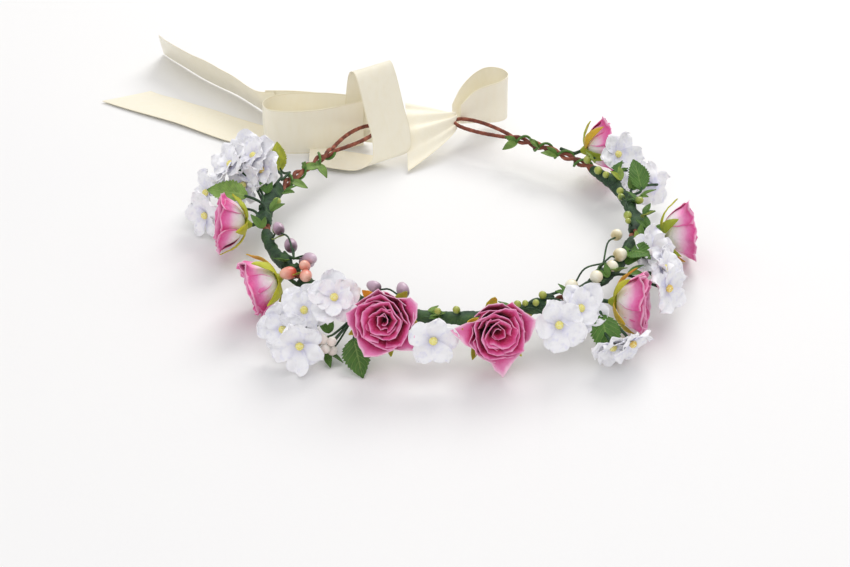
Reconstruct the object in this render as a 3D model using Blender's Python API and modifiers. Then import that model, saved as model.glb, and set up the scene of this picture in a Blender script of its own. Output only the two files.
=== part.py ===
"""Flower crown: a paper-covered wire ring with an eye at each end, bound with floral tape,
carrying paper roses, florets, leaves and berries, and closed by a satin ribbon tied through
the eyes. The ring lies flat, its centre at the origin on the table, +Z up; the ribbon closes
it at the back, towards +Y."""

import math

import bmesh
import bpy
from mathutils import Matrix, Vector

MM = 0.001

# Ring
RING_RADIUS = 83 * MM  # centre line of the twisted wires
RING_HEIGHT = 15 * MM  # of the centre line over the table
LEFT_END = 120.0  # where the ring stops and its left eye begins, degrees from +X
RIGHT_END = 419.0
WIRE_RADIUS = 1.0 * MM
STRAND_GAP = 0.35 * MM  # between the two strands
TWISTS = 6
FLARE = 4 * MM  # the ends turn outward by this
FLARE_SPAN = 20.0
WIRE_JOINT = 267.0  # where the wire's two ends meet, under tape
EYE_LENGTH = 33 * MM
EYE_WIDTH = 9.5 * MM
EYE_TURN = 14.0  # degrees outward from the ring's tangent

# Tape
TAPE_CLEARANCE = 0.4 * MM
TAPE_THICKNESS = 0.7 * MM
TAPE_RUNS = ((152, 176), (180, 207), (211, 244), (248, 290), (294, 336), (340, 384))
CLEARANCE = 0.3 * MM

# Paper flowers
STEM_RADIUS = 0.5 * MM
STEM_BOUND = 7 * MM  # length of a stem that lies along the ring
ROSE_BINDING = 5  # where stems lie round the tape, in degrees: 0 is outside the ring, 90 on top
LEAF_BINDING = 97
ROSE_DIAMETER = 25 * MM
ROSE_DEPTH = 12 * MM
CALYX_RADIUS = 2.8 * MM
CALYX_DEPTH = 3.6 * MM
SEPAL_REACH = 8.5 * MM
SHEET_THICKNESS = 0.6 * MM
FLORET_DIAMETER = 18 * MM
BERRY_RADIUS = 2.2 * MM
BERRY_STRETCH = 1.15
FINE_WIRE_RADIUS = 0.4 * MM
KNOT_RADIUS = 0.9 * MM  # where a spray's fine wires leave its stem
FORK_REACH = 1.5 * MM
VINE_GAP = 1 * MM
VINE_BENDS = 6
SMALL_LEAF_RADIUS = 2.0 * MM
SMALL_LEAF_STRETCH = 1.9

# Ribbon
RIBBON_WIDTH = 25 * MM
RIBBON_THICKNESS = 0.4 * MM
BOW_SETBACK = 1.3 * MM  # the bow hangs this far inside the left eye's tip
TAIL_LENGTH_UPPER = 116 * MM
TAIL_LENGTH_LOWER = 101 * MM

# The lists below give places round the ring as degrees, mm out from its centre line and mm over
# that line, and directions as degrees round and degrees up.

# Each rose: its mouth's degrees, out and over, the way that the mouth faces, where its stem is bound.
ROSES = (
    (175.5, 21.5, 3.5, 178, 12, 169),
    (-154, 23, 0, -162, 2, -146),
    (-114.3, 22.5, 10, -107, 22, -123),
    (-90, 22.5, 3.5, -87, 14, -98),
    (-54, 27, 1, -33, 6, -64),
    (-20.6, 25, 2, -32, 10, -12),
    (28, 18.5, 3.5, -22, 12, 37),
)

# Each floret: its centre, the way that it faces, where its stem is bound and how far round the tape.
FLORETS = (
    (155.5, 20.5, 12.5, 185, 42, 164.7, 51),
    (149.5, 29, 5, 200, 30, 156, 51),
    (143, 20, 15, 215, 50, 150, 74),
    (155, 34, -5, 195, 12, 159, 28),
    (166.5, 28, -6, 215, 8, 173, 28),
    (-128, 15, 12, -95, 38, -133, 74),
    (-134.5, 22, 6, -105, 30, -139.5, 51),
    (-140, 32.5, -1.5, -110, 22, -142.5, 28),
    (-132.6, 31, -5.5, -96, 10, -136.5, 28),
    (-102.6, 20, -1.5, -94, 14, -107, 28),
    (-76, 20.5, 1, -88, 26, -82, 51),
    (-69, 12, 12, -84, 42, -74, 74),
    (-68, 28.5, -4, -82, 12, -72.5, 28),
    (-63, 36.5, -6, -72, 4, -70.2, -15),
    (-44.5, 30, 0, -48, 14, -50, 28),
    (-32.5, 14.5, 6, -72, 42, -38, 74),
    (7.5, 18.5, 0, -60, 25, 1, 51),
    (19.5, 18.5, -2.5, -62, 16, 15, 28),
)

# Each leaf: its base, the way that it points, the way that its face looks, length, width, binding.
LEAVES = (
    (-122.5, 18, -3, -85, -28, -115, 50, 22, 13, -127),
    (-63.8, 15.5, 6.5, -82, -50, -95, 35, 17, 11, -69),
    (165.5, 9, 6.5, 151, 3, 240, 65, 22, 11, 172.5),
    (1.5, 5, 6, 96, 42, -90, 45, 20, 11, -4),
    (-37, 3, 5, -62, 22, -110, 60, 15, 9, -31),
    (140, 10, -1, 95, 55, -110, 30, 18, 9, 147),
)

# Each berry spray: node name, where it is bound, how far round the tape, then each berry's place.
BERRY_SPRAYS = (
    ("berries_left_mauve", -160, 122, ((-149, -4, 9), (-153, -7, 5), (-163, -6, 5), (-168, -3, 9))),
    ("berries_left_coral", -152, 122, ((-143.5, 5, 8), (-147, 1, 10), (-149.5, 7, 6))),
    ("berries_front_white", -130.5, -35, ((-127.3, 24, -4.5), (-125.8, 26, -7.5), (-127.3, 28, -9.5), (-125.6, 22, -11))),
    ("berries_front_bud", -117, 122, ((-113, -8, 9), (-108, -5, 6))),
    ("berries_right_cream", -50, 122, ((-48, 4, 9.5), (-43, -5, 6), (-37, 0, 10.5), (-30, -8, 6), (-54, 0, 10))),
    ("berries_right_coral", -9, 122, ((-7, 4, 7), (-4, -3, 8), (-11, -4, 5))),
)

# Each vine: node name, degrees at its two ends, then its small leaves' places.
VINES = (
    ("vine_left", (148, 126), ((143, -7, 0), (134, -7, 2), (128, -8, -3))),
    ("vine_right", (29, 57), ((40, -7, 2), (50, -7, 5), (56, -8, -2))),
)

COLOURS = {
    "wire_paper": (0.30, 0.12, 0.07),
    "floral_tape": (0.03, 0.10, 0.05),
    "rose_paper": (0.75, 0.18, 0.45),
    "sepal_paper": (0.45, 0.50, 0.06),
    "floret_paper": (0.86, 0.86, 0.95),
    "leaf_paper": (0.12, 0.28, 0.06),
    "berry_paint": (0.80, 0.62, 0.50),
    "vine_paper": (0.10, 0.24, 0.07),
    "satin_ribbon": (0.88, 0.84, 0.70),
}


def clear_scene():
    for thing in list(bpy.data.objects):
        bpy.data.objects.remove(thing, do_unlink=True)


clear_scene()
parts = bpy.data.collections.new("flower_crown")
helpers = bpy.data.collections.new("join_helpers")
bpy.context.scene.collection.children.link(parts)
bpy.context.scene.collection.children.link(helpers)


def material(name):
    found = bpy.data.materials.get(name)
    if found:
        return found
    made = bpy.data.materials.new(name)
    made.use_nodes = True
    shader = made.node_tree.nodes["Principled BSDF"]
    shader.inputs["Base Color"].default_value = (*COLOURS[name], 1)
    shader.inputs["Roughness"].default_value = 0.4 if name == "satin_ribbon" else 0.75
    shader.inputs["Metallic"].default_value = 0.0
    return made


def polar(radius, degrees, height):
    turn = math.radians(degrees)
    return Vector((radius * math.cos(turn), radius * math.sin(turn), height))


def beside_ring(degrees, out, height):
    """A point this many mm outside the ring's centre line and this many over it."""
    return polar(RING_RADIUS + out * MM, degrees, RING_HEIGHT + height * MM)


def facing(round_degrees, up_degrees):
    turn, lift = math.radians(round_degrees), math.radians(up_degrees)
    return Vector((math.cos(lift) * math.cos(turn), math.cos(lift) * math.sin(turn), math.sin(lift)))


def aim(point, direction):
    """Matrix at point whose local Z runs along direction."""
    return Matrix.Translation(point) @ direction.to_track_quat("Z", "Y").to_matrix().to_4x4()


def ring_radius(degrees):
    """The ring's radius, which grows where its ends turn outward."""
    from_left = (degrees - LEFT_END) % 360
    near_end = min(from_left, RIGHT_END - LEFT_END - from_left)
    return RING_RADIUS + FLARE * max(0.0, 1 - near_end / FLARE_SPAN) ** 2


def ring_point(degrees):
    return polar(ring_radius(degrees), degrees, RING_HEIGHT)


def tangent(degrees):
    return facing(degrees + 90, 0)


STRAND_OFFSET = WIRE_RADIUS + STRAND_GAP / 2
TAPE_BORE = STRAND_OFFSET + WIRE_RADIUS + TAPE_CLEARANCE
TAPE_OUTER = TAPE_BORE + TAPE_THICKNESS
BIND_DISTANCE = TAPE_OUTER + CLEARANCE + STEM_RADIUS


def bind_point(degrees, around):
    """A point beside the tape; around is 0 outside the ring and 90 on top."""
    turn = math.radians(around)
    outward = facing(degrees, 0)
    return ring_point(degrees) + BIND_DISTANCE * (math.cos(turn) * outward + math.sin(turn) * Vector((0, 0, 1)))


def keep(thing, name, finish, collection=None):
    """Names an object and its data, gives it its material and links it."""
    thing.name = name
    thing.data.name = name
    thing.data.materials.clear()
    thing.data.materials.append(material(finish))
    (collection or parts).objects.link(thing)
    return thing


def as_mesh(thing, name):
    """A mesh object made from a curve or from an object with modifiers, its caps welded."""
    bpy.context.view_layer.update()
    graph = bpy.context.evaluated_depsgraph_get()
    mesh = bpy.data.meshes.new_from_object(thing.evaluated_get(graph))
    mesh.transform(thing.matrix_world)
    shape = bmesh.new()
    shape.from_mesh(mesh)
    bmesh.ops.remove_doubles(shape, verts=shape.verts, dist=0.001 * MM)
    shape.to_mesh(mesh)
    shape.free()
    bpy.data.objects.remove(thing, do_unlink=True)
    return bpy.data.objects.new(name, mesh)


def joined(name, finish, shapes):
    """One body from overlapping shapes: the first, with a Boolean union for each other one."""
    body = keep(shapes[0], name, finish)
    for index, other in enumerate(shapes[1:]):
        keep(other, f"{name}_join_{index}", finish, helpers)
        other.hide_render = True
        other.display_type = "WIRE"
        union = body.modifiers.new(f"join_{index}", "BOOLEAN")
        union.operation = "UNION"
        union.object = other
    return body


def loose(data, matrix=None):
    """A temporary object in the scene, for as_mesh."""
    thing = bpy.data.objects.new("temporary", data)
    bpy.context.scene.collection.objects.link(thing)
    if matrix:
        thing.matrix_world = matrix
    return thing


def poly_tube(points, radius, sides=2, caps=True):
    curve = bpy.data.curves.new("tube", "CURVE")
    curve.dimensions = "3D"
    curve.bevel_depth = radius
    curve.bevel_resolution = sides
    curve.use_fill_caps = caps
    spline = curve.splines.new("POLY")
    spline.points.add(len(points) - 1)
    for knot, point in zip(spline.points, points):
        knot.co = (*point, 1)
    return curve


def stem_tube(start, along, end, into, radius=STEM_RADIUS, bound=STEM_BOUND):
    """A wire stem: bound along the ring up to start, then bent to meet its head along into."""
    curve = bpy.data.curves.new("stem", "CURVE")
    curve.dimensions = "3D"
    curve.resolution_u = 4
    curve.bevel_depth = radius
    curve.bevel_resolution = 1
    curve.use_fill_caps = True
    reach = 0.4 * (end - start).length
    spline = curve.splines.new("BEZIER")
    spline.bezier_points.add(2)
    knots = (
        (start - bound * along, along, 0.3 * bound),
        (start, along, 0.3 * bound),
        (end, into, reach),
    )
    for knot, (place, way, handle) in zip(spline.bezier_points, knots):
        knot.handle_left_type = knot.handle_right_type = "FREE"
        knot.co = place
        knot.handle_left = place - handle * way
        knot.handle_right = place + handle * way
    spline.bezier_points[1].handle_right = start + reach * along
    return curve


def outline(points, thickness):
    """A flat closed outline in local XY with this thickness, centred on its plane."""
    curve = bpy.data.curves.new("outline", "CURVE")
    curve.dimensions = "2D"
    curve.fill_mode = "BOTH"
    curve.extrude = thickness / 2
    spline = curve.splines.new("POLY")
    spline.points.add(len(points) - 1)
    for knot, (x, y) in zip(spline.points, points):
        knot.co = (x, y, 0, 1)
    spline.use_cyclic_u = True
    return curve


def turned(name, profile, steps, matrix):
    """A mesh object from a profile of (radius, height) points, top to bottom, turned about Z."""
    mesh = bpy.data.meshes.new(name)
    mesh.from_pydata([(r, 0, z) for r, z in profile], [(i, i + 1) for i in range(len(profile) - 1)], [])
    thing = loose(mesh, matrix)
    screw = thing.modifiers.new("turn", "SCREW")
    screw.steps = screw.render_steps = steps
    screw.use_merge_vertices = True
    screw.merge_threshold = 0.01 * MM
    screw.use_smooth_shade = True
    return as_mesh(thing, name)


def ball(centre, radius, stretch=1.0, direction=Vector((0, 0, 1))):
    mesh = bpy.data.meshes.new("ball")
    shape = bmesh.new()
    bmesh.ops.create_uvsphere(shape, u_segments=8, v_segments=5, radius=radius)
    shape.transform(aim(centre, direction) @ Matrix.Diagonal((1, 1, stretch, 1)))
    shape.to_mesh(mesh)
    shape.free()
    return bpy.data.objects.new("ball", mesh)


# Ring wire: one wire, folded at both eyes, its two strands twisted round each other.
def strand_point(degrees, side):
    phase = 2 * math.pi * TWISTS * (degrees - LEFT_END) / (RIGHT_END - LEFT_END)
    offset = side * STRAND_OFFSET
    return polar(ring_radius(degrees) + offset * math.cos(phase), degrees,
                 RING_HEIGHT + offset * math.sin(phase))


def eye_frame(left):
    """Root of an eye, the way that it points, and its sideways direction, away from the ring."""
    degrees = LEFT_END if left else RIGHT_END
    turn = degrees - 90 + EYE_TURN if left else degrees + 90 - EYE_TURN
    along = facing(turn, 0)
    outward = facing(turn + (90 if left else -90), 0)
    return polar(ring_radius(degrees), degrees, RING_HEIGHT), along, outward


def eye_points(left, steps=14):
    root, along, outward = eye_frame(left)
    made = []
    for step in range(1, steps):
        turn = 2 * math.pi * step / steps
        reach = EYE_LENGTH * (1 - math.cos(turn)) / 2
        spread = 0.62 * EYE_WIDTH * math.sin(turn) * abs(math.sin(turn / 2))
        made.append(root + reach * along + (spread + STRAND_OFFSET * math.cos(turn / 2)) * outward)
    return made


def wire_strand(start, end, side):
    count = max(2, round(abs(end - start) / 6.2))
    return [strand_point(start + (end - start) * i / count, side) for i in range(count + 1)]


wire_points = (
    wire_strand(WIRE_JOINT + 1, RIGHT_END, 1)
    + eye_points(left=False)
    + wire_strand(RIGHT_END, LEFT_END, -1)
    + eye_points(left=True)[::-1]
    + wire_strand(LEFT_END, WIRE_JOINT - 1, 1)
)
keep(as_mesh(loose(poly_tube(wire_points, WIRE_RADIUS, sides=1)), "base_wire"), "base_wire", "wire_paper")

# Tape: open tubes round the wires, given their thickness.
for number, (first, last) in enumerate(TAPE_RUNS, 1):
    count = round((last - first) / 6)
    route = [ring_point(first + (last - first) * i / count) for i in range(count + 1)]
    sleeve = loose(poly_tube(route, TAPE_BORE + TAPE_THICKNESS / 2, sides=2, caps=False))
    wall = sleeve.modifiers.new("wall", "SOLIDIFY")
    wall.thickness = TAPE_THICKNESS
    wall.offset = 0
    keep(as_mesh(sleeve, f"tape_wrap_{number}"), f"tape_wrap_{number}", "floral_tape")


def hang_on(pivot_name, place, pieces):
    """An empty on a joint's axis, with the pieces that turn on it parented to it."""
    pivot = bpy.data.objects.new(pivot_name, None)
    pivot.empty_display_size = 5 * MM
    pivot.location = place
    parts.objects.link(pivot)
    for piece in pieces:
        piece.parent = pivot
        piece.matrix_parent_inverse = Matrix.Translation(-place)
    return pivot


# Roses: a turned bloom on a calyx with five sepals and a wire stem.
ROSE_RADIUS = ROSE_DIAMETER / 2
BLOOM_PROFILE = (
    (0.0, 0.84), (0.26, 0.90), (0.44, 0.74), (0.70, 0.92), (0.94, 1.0),
    (1.0, 0.84), (0.94, 0.52), (0.66, 0.18), (0.20, 0.0), (0.0, 0.0),
)
SEPALS = 5


def star(reach, waist):
    return [
        ((reach if i % 2 == 0 else waist) * math.cos(math.pi * i / SEPALS),
         (reach if i % 2 == 0 else waist) * math.sin(math.pi * i / SEPALS))
        for i in range(2 * SEPALS)
    ]


for number, (degrees, out, height, way_round, way_up, bound) in enumerate(ROSES, 1):
    way = facing(way_round, way_up)
    mouth = beside_ring(degrees, out, height)
    base = mouth - ROSE_DEPTH * way
    bloom = turned(f"rose_{number}_bloom", [(r * ROSE_RADIUS, z * ROSE_DEPTH) for r, z in BLOOM_PROFILE],
                   16, aim(base, way))
    keep(bloom, f"rose_{number}_bloom", "rose_paper")
    seat = base - CLEARANCE * way
    cup = turned("cup", ((0, 0), (CALYX_RADIUS, 0), (0.8 * CALYX_RADIUS, -0.35 * CALYX_DEPTH),
                         (1.8 * STEM_RADIUS, -CALYX_DEPTH), (0, -CALYX_DEPTH)), 10, aim(seat, way))
    sepals = as_mesh(loose(outline(star(SEPAL_REACH, 0.36 * SEPAL_REACH), SHEET_THICKNESS),
                           aim(seat - SHEET_THICKNESS * way, way)), "sepals")
    start = bind_point(bound, ROSE_BINDING)
    side = 1 if (degrees - bound) % 360 < 180 else -1
    stem = as_mesh(loose(stem_tube(start, side * tangent(bound), seat - 0.8 * CALYX_DEPTH * way, way)), "stem")
    calyx = joined(f"rose_{number}_calyx", "sepal_paper", [cup, sepals, stem])
    hang_on(f"rose_{number}_bend", start, [bloom, calyx])


# Florets: five round petals cut in one sheet, on a wire stem.
def five_petals(radius, points_per_petal=5):
    made = []
    for i in range(5 * points_per_petal):
        turn = 2 * math.pi * i / (5 * points_per_petal)
        lobe = abs(math.cos(2.5 * turn)) ** 0.5
        made.append((radius * (0.45 + 0.55 * lobe) * math.cos(turn), radius * (0.45 + 0.55 * lobe) * math.sin(turn)))
    return made


for number, (degrees, out, height, way_round, way_up, bound, around) in enumerate(FLORETS, 1):
    way = facing(way_round, way_up)
    centre = beside_ring(degrees, out, height)
    petals = as_mesh(loose(outline(five_petals(FLORET_DIAMETER / 2), SHEET_THICKNESS), aim(centre, way)), "petals")
    side = 1 if (degrees - bound) % 360 < 180 else -1
    stem = as_mesh(loose(stem_tube(bind_point(bound, around), side * tangent(bound), centre, way)), "stem")
    joined(f"floret_{number:02d}", "floret_paper", [petals, stem])


# Leaves: one flat sheet each, on a wire stem.
def leaf_outline(length, width, steps=7):
    upper = [(length * i / steps, width / 2 * math.sin(math.pi * (i / steps) ** 0.8)) for i in range(1, steps)]
    return [(0, 0), *[(x, -y) for x, y in upper], (length, 0), *upper[::-1]]


def lay_flat(point, way, face):
    """Matrix at point with local X along way and local Z as near to face as that allows."""
    up = (face - face.dot(way) * way).normalized()
    return Matrix.Translation(point) @ Matrix((way, up.cross(way), up)).transposed().to_4x4()


for number, leaf in enumerate(LEAVES, 1):
    degrees, out, height, way_round, way_up, face_round, face_up, length, width, bound = leaf
    way = facing(way_round, way_up)
    base = beside_ring(degrees, out, height)
    blade = as_mesh(loose(outline(leaf_outline(length * MM, width * MM), SHEET_THICKNESS),
                          lay_flat(base, way, facing(face_round, face_up))), "blade")
    side = 1 if (degrees - bound) % 360 < 180 else -1
    stem = as_mesh(loose(stem_tube(bind_point(bound, LEAF_BINDING), side * tangent(bound), base + 2 * MM * way, way)), "stem")
    joined(f"leaf_{number}", "leaf_paper", [blade, stem])

# Berries: painted beads on fine wires that share one binding.
for name, bound, around, berries in BERRY_SPRAYS:
    start = bind_point(bound, around)
    fork = start + FORK_REACH * tangent(bound) + 0.25 * (start - ring_point(bound))
    shapes = [as_mesh(loose(stem_tube(start, tangent(bound), fork, tangent(bound))), "stem")]
    shapes.append(ball(fork, KNOT_RADIUS))
    for degrees, out, height in berries:
        place = beside_ring(degrees, out, height)
        way = (place - fork).normalized()
        shapes.append(as_mesh(loose(poly_tube([fork, place], FINE_WIRE_RADIUS, sides=1)), "wire"))
        shapes.append(ball(place, BERRY_RADIUS, BERRY_STRETCH, way))
    joined(name, "berry_paint", shapes)

# Vines: a fine wire along the ring's inner side, with small leaves.
for name, (first, last), leaves in VINES:
    bends = [first + (last - first) * i / VINE_BENDS for i in range(VINE_BENDS + 1)]
    route = [polar(ring_radius(bend) - BIND_DISTANCE - VINE_GAP, bend, RING_HEIGHT + VINE_GAP / 2) for bend in bends]
    shapes = [as_mesh(loose(poly_tube(route, STEM_RADIUS, sides=1)), "stem")]
    for degrees, out, height in leaves:
        place = beside_ring(degrees, out, height)
        nearest = min(route, key=lambda point: (point - place).length)
        shapes.append(as_mesh(loose(poly_tube([nearest, place], FINE_WIRE_RADIUS, sides=1)), "wire"))
        shapes.append(ball(place, SMALL_LEAF_RADIUS, SMALL_LEAF_STRETCH, (place - nearest).normalized()))
    joined(name, "vine_paper", shapes)

# Ribbon: bands of one thin strip. A band stands on edge over its plan, or is turned to lie over
# a section, and gets its thickness from a Solidify.
def band(name, plan, width, matrix):
    curve = bpy.data.curves.new(name, "CURVE")
    curve.dimensions = "2D"
    curve.extrude = width / 2
    curve.resolution_u = 3
    spline = curve.splines.new("BEZIER")
    spline.bezier_points.add(len(plan) - 1)
    for knot, (x, y) in zip(spline.bezier_points, plan):
        knot.co = (x * MM, y * MM, 0)
        knot.handle_left_type = knot.handle_right_type = "AUTO"
    strip = loose(curve, matrix)
    wall = strip.modifiers.new("wall", "SOLIDIFY")
    wall.thickness = RIBBON_THICKNESS
    wall.offset = 0
    return as_mesh(strip, name)


def upright(x, y, height, tilt=0.0):
    """Matrix for a plan drawn about (x, y) whose band stands with its middle at this height."""
    return Matrix.Translation((x, y, height)) @ Matrix.Rotation(math.radians(tilt), 4, "X")


# A section drawn in (back, up) whose band runs along X.
SECTION = Matrix(((0, 0, 1, 0), (1, 0, 0, 0), (0, 1, 0, 0), (0, 0, 0, 1)))

left_tip = eye_frame(True)[0] + EYE_LENGTH * eye_frame(True)[1]
right_tip = eye_frame(False)[0] + EYE_LENGTH * eye_frame(False)[1]
half_width = RIBBON_WIDTH / 2
bow_y = left_tip.y - BOW_SETBACK

# The wrap stands round the left eye's tip: up in front, over, and down behind.
WRAP_LEAN = 10.0
WRAP_OFFSET = 8.5 * MM  # its middle stands this far towards the right eye
WRAP_SECTION = ((-20, -12.6), (-15.5, -6), (-12.5, 2), (-8, 12), (-3, 23), (1, 30), (4.5, 32), (7, 28), (7.5, 15),
                (7, 3), (6, -5))
wrap_middle = Vector((left_tip.x + WRAP_OFFSET, bow_y, RING_HEIGHT))
wrap_place = Matrix.Translation(wrap_middle) @ Matrix.Rotation(math.radians(-WRAP_LEAN), 4, "Y") @ SECTION
wrap = keep(band("bow_wrap", WRAP_SECTION, RIBBON_WIDTH, wrap_place), "bow_wrap", "satin_ribbon")

# The left loop stands on edge, back from the wrap, round, and forward again behind the eye.
LEFT_LOOP = ((-14, 9), (-30, 16), (-50, 23), (-60, 21), (-63.5, 15), (-60, 8), (-46, 4), (-30, 3), (-17, 6))
left_loop = keep(band("bow_loop_left", LEFT_LOOP, RIBBON_WIDTH,
                      upright(wrap_middle.x, bow_y, half_width + 1 * MM)), "bow_loop_left", "satin_ribbon")

# The right loop stands behind the right eye's tip.
RIGHT_LOOP = ((1, 8), (10, 15), (20, 23), (28, 21), (30, 13), (24, 9), (12, 7))
right_loop = keep(band("bow_loop_right", RIGHT_LOOP, RIBBON_WIDTH,
                       upright(right_tip.x, bow_y, half_width + 7 * MM, 6)), "bow_loop_right", "satin_ribbon")

# Between the eyes the ribbon lies like a tent from the wrap to the right eye, and goes down
# through that eye as a gathered roll.
BRIDGE_SECTION = ((5, -10), (4, -2), (0, 3.2), (-7, 0), (-15, -7), (-25, -13.6))
BRIDGE_GAP_LEFT, BRIDGE_GAP_RIGHT = 2.6 * MM, 2.2 * MM
bridge_left = wrap_middle.x + half_width + BRIDGE_GAP_LEFT
bridge_right = right_tip.x - BRIDGE_GAP_RIGHT
bridge_middle = Vector(((bridge_left + bridge_right) / 2, bow_y - 1 * MM, RING_HEIGHT))
bridge = band("bridge", BRIDGE_SECTION, bridge_right - bridge_left, Matrix.Translation(bridge_middle) @ SECTION)
roll_radius = 2.0 * MM
eye_back = eye_frame(False)[1]
roll_start = Vector((bridge_right - roll_radius, bridge_middle.y, RING_HEIGHT + 3 * MM))
roll_route = [roll_start] + [right_tip + reach * MM * eye_back + Vector((0, 0, rise * MM))
                             for reach, rise in ((0.5, 4.8), (-3.6, 3.8), (-5.2, 0), (-5.0, -5))]
roll = as_mesh(loose(poly_tube(roll_route, roll_radius, sides=2)), "roll")
joined("bow_bridge", "satin_ribbon", [bridge, roll])

# The run of ribbon from the wrap, behind the left loop, to where the upper tail bends away.
TAIL_RUN = ((-13, 13), (-28, 22), (-46, 31), (-58, 40))
run = keep(band("bow_tail_run", TAIL_RUN, 0.92 * RIBBON_WIDTH, upright(wrap_middle.x, bow_y, half_width + 1 * MM)),
           "bow_tail_run", "satin_ribbon")
hang_on("bow_swing", Vector((0, bow_y, RING_HEIGHT)), [wrap, left_loop, right_loop, bpy.data.objects["bow_bridge"], run])

# The upper tail stands on edge; the lower one lies flat on the table.
def tail_frame(start, end_direction, height):
    return Matrix.Translation(Vector((*start, height))) @ Matrix.Rotation(end_direction, 4, "Z")


UPPER_DIRECTION = math.radians(119.5)
UPPER_LEAN = math.radians(30.0)
UPPER_WIDTH = 0.92 * RIBBON_WIDTH  # the edges curl in a little
upper_start = Vector((wrap_middle.x - 59.5 * MM, bow_y + 42.5 * MM))
upper_height = UPPER_WIDTH / 2 * math.cos(UPPER_LEAN) + 0.6 * MM
UPPER_PLAN = ((0, 0), (40, -1.5), (80, 1.0), (TAIL_LENGTH_UPPER / MM, 0))
upper = keep(band("ribbon_tail_upper", UPPER_PLAN, UPPER_WIDTH,
                  tail_frame(upper_start, UPPER_DIRECTION, upper_height) @ Matrix.Rotation(-UPPER_LEAN, 4, "X")),
             "ribbon_tail_upper", "satin_ribbon")
hang_on("tail_upper_swing", Vector((*upper_start, upper_height)), [upper])

LOWER_DIRECTION = math.radians(141.0)
lower_start = Vector((wrap_middle.x - 64.0 * MM, bow_y + 25.0 * MM))
lower_outline = [(0, -half_width), (TAIL_LENGTH_LOWER - half_width, -half_width), (TAIL_LENGTH_LOWER, half_width),
                 (0, half_width)]
lower = keep(as_mesh(loose(outline(lower_outline, RIBBON_THICKNESS),
                           tail_frame(lower_start, LOWER_DIRECTION, RIBBON_THICKNESS / 2)), "ribbon_tail_lower"),
             "ribbon_tail_lower", "satin_ribbon")
hang_on("tail_lower_swing", Vector((*lower_start, RIBBON_THICKNESS / 2)), [lower])

for thing in parts.objects:
    if thing.type == "MESH":
        thing.data.shade_smooth()
        thing.data.set_sharp_from_angle(angle=math.radians(40))
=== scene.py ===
import math
import random

import bpy
import numpy as np
from mathutils import Matrix, Vector, noise


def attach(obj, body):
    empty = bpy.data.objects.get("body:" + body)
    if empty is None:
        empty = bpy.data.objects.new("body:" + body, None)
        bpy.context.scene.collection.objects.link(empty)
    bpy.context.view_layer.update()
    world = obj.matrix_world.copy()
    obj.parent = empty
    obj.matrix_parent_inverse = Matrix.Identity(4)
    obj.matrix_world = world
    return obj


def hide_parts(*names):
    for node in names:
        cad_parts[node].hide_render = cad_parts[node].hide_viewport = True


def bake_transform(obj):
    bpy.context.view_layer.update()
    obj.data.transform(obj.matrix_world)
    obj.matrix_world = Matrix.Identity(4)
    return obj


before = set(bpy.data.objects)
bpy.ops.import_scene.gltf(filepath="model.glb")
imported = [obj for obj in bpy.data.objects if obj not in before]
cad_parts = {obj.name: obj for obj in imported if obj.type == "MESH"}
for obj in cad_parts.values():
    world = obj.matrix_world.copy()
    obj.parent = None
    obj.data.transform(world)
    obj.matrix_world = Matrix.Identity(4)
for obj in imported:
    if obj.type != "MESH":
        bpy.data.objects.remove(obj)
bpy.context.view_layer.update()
MM = 0.001

# Table and light: the crown lies on a pale matt table under a big soft light from behind and
# from the right, with bright walls all round. The camera stands in front, a little to the left,
# and looks down on it.


class Shade:
    """One value, colour or vector in a material's nodes; arithmetic on values adds Math nodes."""

    def __init__(self, tree, socket=None):
        self.tree = tree
        self.socket = socket

    def node(self, kind, settings=None, inputs=None, output=0):
        """A node of this kind: its settings first, then its sockets' values or links."""
        made = self.tree.nodes.new(kind)
        for name, value in (settings or {}).items():
            if name == "stops":
                first, *middle, last = value
                made.color_ramp.elements[0].position, made.color_ramp.elements[0].color = first
                made.color_ramp.elements[1].position, made.color_ramp.elements[1].color = last
                for place, colour in middle:
                    made.color_ramp.elements.new(place).color = colour
            else:
                setattr(made, name, value)
        self.set(made, inputs or {})
        return Shade(self.tree, made.outputs[output])

    def set(self, node, inputs):
        for name, value in inputs.items():
            if isinstance(value, Shade):
                self.tree.links.new(value.socket, node.inputs[name])
            else:
                node.inputs[name].default_value = value

    def maths(self, operation, *others):
        return self.node("ShaderNodeMath", {"operation": operation}, dict(enumerate((self, *others))))

    def __add__(self, other):
        return self.maths("ADD", other)

    def __sub__(self, other):
        return self.maths("SUBTRACT", other)

    def __mul__(self, other):
        return self.maths("MULTIPLY", other)

    def __rsub__(self, other):
        return self.node("ShaderNodeMath", {"operation": "SUBTRACT"}, {0: other, 1: self})

    def between(self, low, high):
        """0 where this value is at low or under, 1 at high or over, and smooth between."""
        inputs = {"Value": self, "From Min": low, "From Max": high}
        return self.node("ShaderNodeMapRange", {"interpolation_type": "SMOOTHSTEP"}, inputs)

    def mix(self, first, second):
        """The colour that goes from first to second as this value goes from 0 to 1."""
        return self.node("ShaderNodeMix", {"data_type": "RGBA"}, {0: self, 6: first, 7: second}, 2)

    def ramp(self, *stops):
        return self.node("ShaderNodeValToRGB", {"stops": stops}, {0: self})

    def fact(self, name):
        """A value that the mesh carries at each point."""
        return self.node("ShaderNodeAttribute", {"attribute_name": name}, output="Fac")

    def speckle(self, size, detail=3.0, roughness=0.5, stretch=(1, 1, 1)):
        """Noise whose lumps are about this size in metres."""
        place = self.node("ShaderNodeTexCoord", output="Object")
        place = self.node("ShaderNodeMapping", inputs={"Vector": place, "Scale": stretch})
        inputs = {"Vector": place, "Scale": 1 / size, "Detail": detail, "Roughness": roughness}
        return self.node("ShaderNodeTexNoise", inputs=inputs)


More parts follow.
